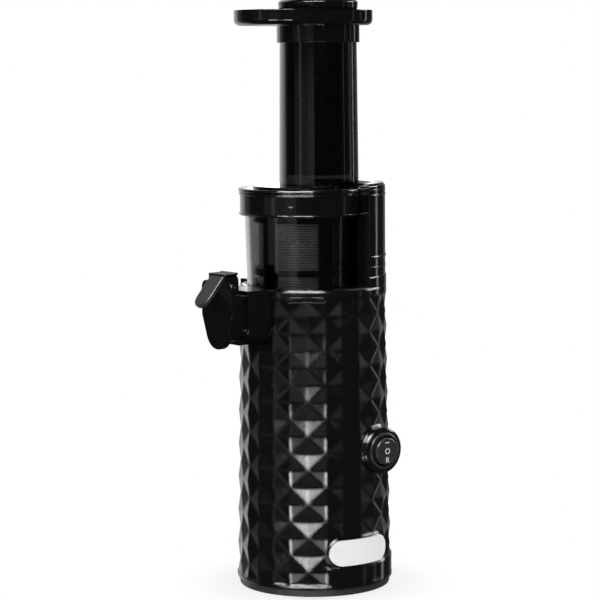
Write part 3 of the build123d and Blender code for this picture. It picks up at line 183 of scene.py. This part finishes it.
def make_world():
    """White seen directly or through clear plastic; a studio with softboxes in reflections."""
    world = bpy.data.worlds.new("studio")
    bpy.context.scene.world = world
    world.use_nodes = True
    world.cycles.sampling_method = "NONE"       # so that each ray's own kind picks what it sees
    tree = Tree(world.node_tree)
    ray = tree.node("TexCoord").outputs["Generated"]
    studio = DARK_LEVEL
    for box in SOFTBOXES:
        studio = tree.math("ADD", studio, softbox(tree, ray, *box))
    path = tree.node("LightPath").outputs
    scattered = tree.math("GREATER_THAN", path["Diffuse Depth"], 0.5)
    light = tree.blend(scattered, studio, DIFFUSE_LEVEL)
    bounces = tree.math("ADD", path["Glossy Depth"], path["Diffuse Depth"])
    through = tree.math("MULTIPLY", path["Is Transmission Ray"],
                        tree.math("LESS_THAN", bounces, 0.5))
    direct = tree.math("MAXIMUM", path["Is Camera Ray"], through)
    background = tree.node("Background")
    tree.put(WHITE, background.inputs["Color"])
    tree.put(tree.blend(direct, light, 1.0), background.inputs["Strength"])
    tree.put(background.outputs[0], tree.node("OutputWorld").inputs["Surface"])


def look_at(place, target):
    """Matrix of an object at a place whose -Z points at a target."""
    turn = (target - place).to_track_quat("-Z", "Y")
    return Matrix.Translation(place) @ turn.to_matrix().to_4x4()


def make_lamps():
    """Square lamps that light the juicer and show in no picture or reflection."""
    for name, azimuth, elevation, distance, side, watts in LAMPS:
        lamp = bpy.data.lights.new(name, "AREA")
        lamp.shape = "RECTANGLE"
        lamp.size, lamp.size_y, lamp.energy = side, side, watts
        holder = bpy.data.objects.new(name, lamp)
        bpy.context.scene.collection.objects.link(holder)
        holder.matrix_world = look_at(direction_of(azimuth, elevation) * distance, LAMP_TARGET)
        holder.visible_camera = False
        holder.visible_glossy = False


def floor_material():
    """Pale matte ground, nearly white in the middle and plain white further out."""
    material = bpy.data.materials.new("pale_floor")
    material.use_nodes = True
    tree = Tree(material.node_tree)
    matte = tree.node("BsdfDiffuse")
    grain = tree.noise(90.0, 3.0)
    tree.put(tree.mix(grain, (0.80, 0.80, 0.80), (0.84, 0.84, 0.84)), matte.inputs["Color"])
    glow = tree.node("Emission")
    tree.put(WHITE, glow.inputs["Color"])
    place = tree.node("VectorMath", operation="LENGTH")
    tree.put(tree.node("TexCoord").outputs["Object"], place.inputs[0])
    fade = tree.smooth(place.outputs["Value"], FADE_START, FADE_END, FADE_LEAST, 1.0)
    both = tree.node("MixShader")
    tree.put(fade, both.inputs[0])
    tree.put(matte.outputs[0], both.inputs[1])
    tree.put(glow.outputs[0], both.inputs[2])
    tree.put(both.outputs[0], tree.node("OutputMaterial").inputs["Surface"])
    return material


def make_floor():
    """Pale disc that keeps the juicer's shadow and fades into the white background."""
    points, faces = [(0, 0, 0)], []
    for ring in range(1, FLOOR_RINGS + 1):
        radius = FLOOR_RADIUS * ring / FLOOR_RINGS
        for i in range(FLOOR_SPOKES):
            angle = 2 * pi * i / FLOOR_SPOKES
            points.append((radius * cos(angle), radius * sin(angle), 0))
    for i in range(FLOOR_SPOKES):
        j = (i + 1) % FLOOR_SPOKES
        faces.append((0, 1 + i, 1 + j))
        for ring in range(FLOOR_RINGS - 1):
            a, b = 1 + ring * FLOOR_SPOKES, 1 + (ring + 1) * FLOOR_SPOKES
            faces.append((a + i, b + i, b + j, a + j))
    mesh = bpy.data.meshes.new("floor")
    mesh.from_pydata(points, [], faces)
    mesh.materials.append(floor_material())
    floor = bpy.data.objects.new("floor", mesh)
    bpy.context.scene.collection.objects.link(floor)
    floor.visible_glossy = False


def make_camera():
    """Camera that looks past the body axis, pitched and rolled as in the photograph."""
    ahead = Vector((sin(CAMERA_AZIMUTH), cos(CAMERA_AZIMUTH), 0))
    right = Vector((cos(CAMERA_AZIMUTH), -sin(CAMERA_AZIMUTH), 0))
    place = -ahead * CAMERA_DISTANCE
    ahead = (-right * CAMERA_ASIDE - place).normalized()
    ahead = ahead * cos(CAMERA_PITCH) + Vector((0, 0, sin(CAMERA_PITCH)))
    right = ahead.cross(Vector((0, 0, 1))).normalized()
    right = (Matrix.Rotation(-CAMERA_ROLL, 3, ahead) @ right).normalized()
    up = right.cross(ahead)
    place.z = CAMERA_HEIGHT
    camera = bpy.data.objects.new("camera", bpy.data.cameras.new("camera"))
    bpy.context.scene.collection.objects.link(camera)
    turn = Matrix((right, up, -ahead)).transposed().to_4x4()
    camera.matrix_world = Matrix.Translation(place) @ turn
    camera.data.sensor_width = CAMERA_SENSOR
    camera.data.lens = CAMERA_LENS
    camera.data.clip_start, camera.data.clip_end = CAMERA_NEAR, CAMERA_FAR
    bpy.context.scene.camera = camera


# ---- materials ----
NOISE_LOW, NOISE_HIGH = 0.3, 0.7    # most of a noise lies between these
EDGE_SAMPLES = 6
GLOSS_ROUNDING = 0.8 * MM
FACET_ROUNDING = 3.4 * MM


class Finish(Tree):
    """Node tree of a material, built round one principled shader."""

    def __init__(self, material):
        material.use_nodes = True
        super().__init__(material.node_tree)
        shader = self.node("BsdfPrincipled")
        self.put(shader.outputs[0], self.node("OutputMaterial").inputs["Surface"])
        self.inputs = shader.inputs

    def set(self, name, value):
        """Sets one of the shader's own sockets."""
        self.put(value, self.inputs[name])

    def colour(self, pattern, dark, light):
        """Base colour that wanders between two tones."""
        self.set("Base Color", self.mix(pattern, dark, light))

    def roughness(self, pattern, least, most):
        """Roughness that wanders between two levels."""
        self.set("Roughness", self.smooth(pattern, NOISE_LOW, NOISE_HIGH, least, most))

    def relief(self, rounding, pattern, depth):
        """Edges rounded to a radius, and a pattern raised over the whole surface."""
        edge = self.node("Bevel", samples=EDGE_SAMPLES)
        self.put(rounding, edge.inputs["Radius"])
        bump = self.node("Bump")
        self.put(pattern, bump.inputs["Height"])
        self.put(depth, bump.inputs["Distance"])
        self.put(1.0, bump.inputs["Strength"])
        self.put(edge.outputs["Normal"], bump.inputs["Normal"])
        self.set("Normal", bump.outputs["Normal"])


def black_gloss(finish, rounding=GLOSS_ROUNDING, waves=260.0):
    """Polished black ABS: a faint waviness from the mould, handling marks and a little dust."""
    finish.colour(finish.noise(140.0, 4.0), (0.0030, 0.0030, 0.0032), (0.0050, 0.0050, 0.0052))
    smears = finish.smooth(finish.noise(45.0, 3.0, (1, 1, 0.5)), 0.35, 0.75, 0.055, 0.15)
    dust = finish.smooth(finish.noise(1500.0, 1.0), 0.74, 0.80, 0.0, 0.35)
    finish.set("Roughness", finish.math("ADD", smears, dust))
    finish.relief(rounding, finish.noise(waves, 2.0), 0.02 * MM)


def black_facets(finish):
    """The same plastic on the faceted body, whose ridges are well rounded."""
    black_gloss(finish, FACET_ROUNDING, 200.0)


def black_satin(finish):
    """Satin black nylon with a fine moulded grain."""
    finish.colour(finish.noise(220.0, 3.0), (0.020, 0.020, 0.021), (0.028, 0.028, 0.029))
    finish.roughness(finish.noise(80.0, 3.0), 0.28, 0.40)
    finish.set("Specular IOR Level", 0.3)
    finish.relief(0.6 * MM, finish.noise(2600.0, 2.0), 0.02 * MM)


def black_matte(finish):
    """Textured black plastic, as on a housing's underside."""
    finish.colour(finish.noise(300.0, 4.0), (0.010, 0.010, 0.011), (0.016, 0.016, 0.017))
    finish.roughness(finish.noise(120.0, 3.0), 0.45, 0.62)
    finish.relief(0.4 * MM, finish.noise(2200.0, 3.0), 0.05 * MM)


def smoky(finish, dark=(0.30, 0.30, 0.30), light=(0.38, 0.38, 0.38)):
    """Smoky clear copolyester, faintly streaked where it flowed in the mould."""
    finish.colour(finish.noise(60.0, 2.0, (1, 1, 0.15)), dark, light)
    finish.set("Transmission Weight", 1.0)
    finish.set("IOR", 1.52)
    smears = finish.smooth(finish.noise(70.0, 3.0, (1, 1, 0.4)), 0.4, 0.8, 0.02, 0.07)
    dust = finish.smooth(finish.noise(1300.0, 1.0), 0.75, 0.80, 0.0, 0.4)
    finish.set("Roughness", finish.math("ADD", smears, dust))


def smoky_tube(finish):
    """The feed tube's plastic, darker than the bowl's."""
    smoky(finish, (0.09, 0.09, 0.09), (0.13, 0.13, 0.13))


def badge(finish):
    """Pale gloss plate, left bare."""
    finish.colour(finish.noise(150.0, 3.0), (0.82, 0.82, 0.83), (0.88, 0.88, 0.89))
    finish.roughness(finish.noise(90.0, 2.0), 0.18, 0.28)
    finish.relief(0.7 * MM, finish.noise(900.0, 2.0), 0.01 * MM)


def rubber(finish):
    """Dull black rubber."""
    finish.colour(finish.noise(400.0, 4.0), (0.020, 0.020, 0.020), (0.034, 0.034, 0.034))
    finish.roughness(finish.noise(200.0, 3.0), 0.6, 0.8)
    finish.relief(0.5 * MM, finish.noise(1800.0, 2.0), 0.06 * MM)


def silicone(finish):
    """Grey silicone of the seals."""
    finish.colour(finish.noise(250.0, 3.0), (0.22, 0.22, 0.23), (0.27, 0.27, 0.28))
    finish.roughness(finish.noise(150.0, 3.0), 0.4, 0.55)
    finish.relief(0.3 * MM, finish.noise(1500.0, 2.0), 0.03 * MM)


def drawn_steel(finish):
    """Colour and fine rings of drawn steel; returns the rings."""
    finish.colour(finish.noise(180.0, 4.0), (0.52, 0.52, 0.54), (0.66, 0.66, 0.68))
    finish.set("Metallic", 1.0)
    rings = finish.noise(160.0, 3.0, (1, 1, 24))
    finish.relief(0.2 * MM, rings, 0.01 * MM)
    return rings


def steel(finish):
    """Drawn steel, smoother and rougher from ring to ring."""
    finish.roughness(drawn_steel(finish), 0.22, 0.38)


def screen_steel(finish):
    """Bright rolled sheet of the strainer."""
    drawn_steel(finish)
    finish.roughness(finish.noise(300.0, 2.0), 0.28, 0.38)


def brass(finish):
    """Sintered bronze of the bush, duller in patches."""
    finish.colour(finish.noise(500.0, 4.0), (0.55, 0.38, 0.16), (0.70, 0.52, 0.26))
    finish.set("Metallic", 1.0)
    finish.roughness(finish.noise(900.0, 3.0), 0.3, 0.5)


def nylon(finish):
    """Natural nylon, off-white."""
    finish.colour(finish.noise(200.0, 3.0), (0.76, 0.73, 0.66), (0.84, 0.82, 0.76))
    finish.roughness(finish.noise(300.0, 3.0), 0.4, 0.55)
    finish.relief(0.15 * MM, finish.noise(1200.0, 2.0), 0.01 * MM)


def magnet(finish):
    """Dark sintered ferrite."""
    finish.colour(finish.noise(600.0, 4.0), (0.08, 0.08, 0.085), (0.14, 0.14, 0.145))
    finish.roughness(finish.noise(500.0, 3.0), 0.5, 0.7)


def board(finish):
    """Coated circuit board with faint tracks under the coat."""
    tracks = finish.smooth(finish.noise(260.0, 0.0, (4, 1, 0.6)), 0.52, 0.56)
    finish.colour(tracks, (0.02, 0.14, 0.06), (0.05, 0.24, 0.11))
    finish.roughness(finish.noise(400.0, 2.0), 0.2, 0.35)


def board_parts(finish):
    """Dark blue sleeves and cases of the board's parts."""
    finish.colour(finish.noise(350.0, 3.0), (0.03, 0.05, 0.14), (0.06, 0.09, 0.22))
    finish.roughness(finish.noise(300.0, 2.0), 0.25, 0.4)


def auger_plastic(finish):
    """Hard dark plastic, a little paler in patches."""
    finish.colour(finish.noise(120.0, 4.0), (0.035, 0.035, 0.038), (0.060, 0.060, 0.064))
    finish.roughness(finish.noise(90.0, 3.0), 0.25, 0.42)
    finish.relief(0.5 * MM, finish.noise(1500.0, 2.0), 0.02 * MM)


def print_white(finish):
    """Printed marks on the rocker."""
    finish.colour(finish.noise(1500.0, 3.0), (0.70, 0.70, 0.70), (0.82, 0.82, 0.82))
    finish.set("Roughness", 0.45)


# The finish of each slot in the record.
FINISHES = {
    "black_gloss": black_gloss, "black_satin": black_satin, "black_matte": black_matte,
    "smoky": smoky, "badge": badge, "rubber": rubber, "silicone": silicone, "steel": steel,
    "brass": brass, "nylon": nylon, "magnet": magnet, "board": board, "board_parts": board_parts,
    "auger": auger_plastic,
}


def material_of(name, build):
    """A new material that one of the functions above fills in."""
    material = bpy.data.materials.new(name)
    build(Finish(material))
    return material


def dress_nodes(materials):
    """Gives each CAD node the material of its slot in the record."""
    for part in frame["record"]["subparts"]:
        node = NODES[part["node"]]
        node.data.materials.clear()
        node.data.materials.append(materials[part["material_slot"]])


# ---- pieces that the solids leave plain ----
def add_piece(name, points, faces, body, material):
    """A new mesh that moves with a body."""
    mesh = bpy.data.meshes.new(name)
    mesh.from_pydata(points, [], faces)
    mesh.validate()
    piece = bpy.data.objects.new(name, mesh)
    bpy.context.scene.collection.objects.link(piece)
    mesh.materials.append(material)
    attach(piece, body)
    return piece


SCREEN_COLUMNS, SCREEN_ROWS = 106, 49
SCREEN_INSET = 0.05 * MM
HOLE_SHARE = 0.62       # of a cell's width
CELL_RIM = [(-1, -1), (0, -1), (1, -1), (1, 0), (1, 1), (0, 1), (-1, 1), (-1, 0)]
CELL_STEPS = 64         # per cell, by which the corners that cells share are told apart


def perforated_screen(material):
    """The strainer's sheet with a hole in each cell; cells shift by half from row to row."""
    low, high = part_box("strainer_mesh")
    x, y = (low.x + high.x) / 2, (low.y + high.y) / 2
    radius = (high.x - low.x) / 2 - SCREEN_INSET
    rise = (high.z - low.z) / SCREEN_ROWS
    turn = 2 * pi / SCREEN_COLUMNS
    hole = HOLE_SHARE * min(rise, radius * turn) / 2
    points, faces, corners = [], [], {}

    def add_point(angle, z):
        points.append((x + radius * cos(angle), y + radius * sin(angle), low.z + z))
        return len(points) - 1

    def corner(angle, z):
        column = round(angle / turn * CELL_STEPS) % (SCREEN_COLUMNS * CELL_STEPS)
        key = (column, round(z / rise * CELL_STEPS))
        if key not in corners:
            corners[key] = add_point(angle, z)
        return corners[key]

    def add_cell(angle, z):
        outer = [corner(angle + a * turn / 2, z + b * rise / 2) for a, b in CELL_RIM]
        inner = []
        for a, b in CELL_RIM:
            size = (a * a + b * b) ** 0.5
            inner.append(add_point(angle + a / size * hole / radius, z + b / size * hole))
        for i in range(len(CELL_RIM)):
            j = (i + 1) % len(CELL_RIM)
            faces.append((outer[i], outer[j], inner[j], inner[i]))

    for row in range(SCREEN_ROWS):
        for column in range(SCREEN_COLUMNS):
            add_cell((column + 0.5 * (row % 2)) * turn, (row + 0.5) * rise)
    screen = add_piece("strainer_screen", points, faces, "bowl", material)
    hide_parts("strainer_mesh")


# Each row: name, and in millimetres the radius and height of a bead's middle and the width and
# height of its oval section.
LID_BEADS = [("lid_lip", 42.9, 272.1, 2.2, 2.6), ("lid_upper_bead", 43.0, 269.3, 1.6, 0.9),
             ("lid_lower_bead", 43.0, 256.3, 1.5, 1.2)]
ARM_BEADS = [("arm_top_bead", 49.2, 272.4, 1.3, 0.8), ("arm_upper_bead", 49.2, 268.8, 1.6, 1.4),
             ("arm_middle_bead", 49.3, 227.3, 1.8, 1.8), ("arm_lower_bead", 49.3, 220.6, 1.4, 0.9)]
LID_X = -7.5                        # of the lid's own axis, in millimetres
ARM_START, ARM_SWEEP = -74, 128     # degrees round the body axis
FULL_TURN = 360
BEAD_SIDES = 14
BEAD_STEP = 2.5                     # degrees


def bead(row, x, body, material, start=0, sweep=FULL_TURN):
    """Raised ring, or an arc of one, round an upright axis at x."""
    name, ring_radius, middle, width, height = row
    steps = round(sweep / BEAD_STEP)
    closed = sweep == FULL_TURN
    points, faces = [], []
    for step in range(steps if closed else steps + 1):
        angle = radians(start + sweep * step / steps)
        for i in range(BEAD_SIDES):
            turn = 2 * pi * i / BEAD_SIDES
            radius = ring_radius + width / 2 * cos(turn)
            z = middle + height / 2 * sin(turn)
            points.append(((x + radius * cos(angle)) * MM, radius * sin(angle) * MM, z * MM))
    for step in range(steps):
        a, b = step * BEAD_SIDES, (step + 1) * BEAD_SIDES % len(points)
        for i in range(BEAD_SIDES):
            j = (i + 1) % BEAD_SIDES
            faces.append((a + i, b + i, b + j, a + j))
    if not closed:
        faces.append(tuple(range(BEAD_SIDES)))
        faces.append(tuple(reversed(range(len(points) - BEAD_SIDES, len(points)))))
    ring = add_piece(name, points, faces, body, material)
    ring.data.polygons.foreach_set("use_smooth", [len(face) == 4 for face in faces])


def moulded_beads(material):
    """Rings round the lid, and arcs on the arm beside it."""
    for row in LID_BEADS:
        bead(row, LID_X, "lid", material)
    for row in ARM_BEADS:
        bead(row, 0, "base", material, ARM_START, ARM_SWEEP)


# Outlines as (x, z) pairs in millimetres, and their places along Y.
HOOK_ROOF = [(-79.4, 216.9), (-79.4, 219.0), (-71.0, 219.2), (-68.9, 219.9), (-68.5, 218.8),
             (-70.8, 217.0)]
HOOK_CHEEK = [(-79.4, 206.5), (-79.4, 218.6), (-70.2, 218.8), (-68.2, 215.0), (-69.4, 210.6),
              (-72.4, 207.9), (-76.0, 206.2)]
HOOK_HALF = 9.6
CHEEK_THICKNESS = 1.3
ROOF_ROUNDING, CHEEK_ROUNDING = 0.5, 0.4
ROUNDING_STEPS = 3


def hook_piece(name, outline, y_low, y_high, rounding, material):
    """An outline carried along Y, with rounded edges, as a piece of the cap."""
    count = len(outline)
    points = [(x * MM, y * MM, z * MM) for y in (y_low, y_high) for x, z in outline]
    faces = [tuple(range(count)), tuple(reversed(range(count, 2 * count)))]
    faces += [(i, i + count, (i + 1) % count + count, (i + 1) % count) for i in range(count)]
    piece = add_piece(name, points, faces, "cap", material)
    soften = piece.modifiers.new("rounding", "BEVEL")
    soften.width, soften.segments, soften.limit_method = rounding * MM, ROUNDING_STEPS, "ANGLE"
    piece.modifiers.new("normals", "WEIGHTED_NORMAL")


def cap_hook(material):
    """Hood over the hinge, behind the lever's upper end."""
    hook_piece("cap_hook_roof", HOOK_ROOF, -HOOK_HALF, HOOK_HALF, ROOF_ROUNDING, material)
    for side, name in ((-1, "front"), (1, "back")):
        ends = sorted((side * HOOK_HALF, side * (HOOK_HALF - CHEEK_THICKNESS)))
        hook_piece("cap_hook_cheek_" + name, HOOK_CHEEK, *ends, CHEEK_ROUNDING, material)


# Each row: name, text, steps above the rocker's middle, and turn in the face's own plane.
MARKS = [("mark_on", "I", 1, pi / 2), ("mark_off", "O", 0, 0.0), ("mark_reverse", "R", -1, 0.0)]
MARK_SIZE = 5.4 * MM
MARK_STEP = 6.0 * MM
MARK_DEPTH = 0.03 * MM


def rocker_marks(material):
    """The usual marks of a three-way rocker: a bar, a ring and an R, one above another."""
    low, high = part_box("switch_rocker")
    x, z = (low.x + high.x) / 2, (low.z + high.z) / 2
    for name, text, step, turn in MARKS:
        curve = bpy.data.curves.new(name, "FONT")
        curve.body = text
        curve.align_x, curve.align_y = "CENTER", "CENTER"
        curve.size = MARK_SIZE
        curve.extrude = MARK_DEPTH
        mark = bpy.data.objects.new(name, curve)
        bpy.context.scene.collection.objects.link(mark)
        curve.materials.append(material)
        upright = Matrix.Rotation(pi / 2, 4, "X") @ Matrix.Rotation(turn, 4, "Z")
        mark.matrix_world = Matrix.Translation((x, low.y, z + step * MARK_STEP)) @ upright
        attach(mark, "rocker")


# ---- the scene ----
bpy.context.scene.view_settings.view_transform = "Standard"
make_camera()
make_world()
make_lamps()
make_floor()
slot_materials = {slot: material_of(slot, build) for slot, build in FINISHES.items()}
dress_nodes(slot_materials)
NODES["feed_tube"].data.materials[0] = material_of("smoky_tube", smoky_tube)
NODES["body_shell"].data.materials[0] = material_of("black_facets", black_facets)
perforated_screen(material_of("screen_steel", screen_steel))
moulded_beads(slot_materials["black_gloss"])
cap_hook(slot_materials["black_gloss"])
rocker_marks(material_of("print_white", print_white))

bpy.context.view_layer.update()
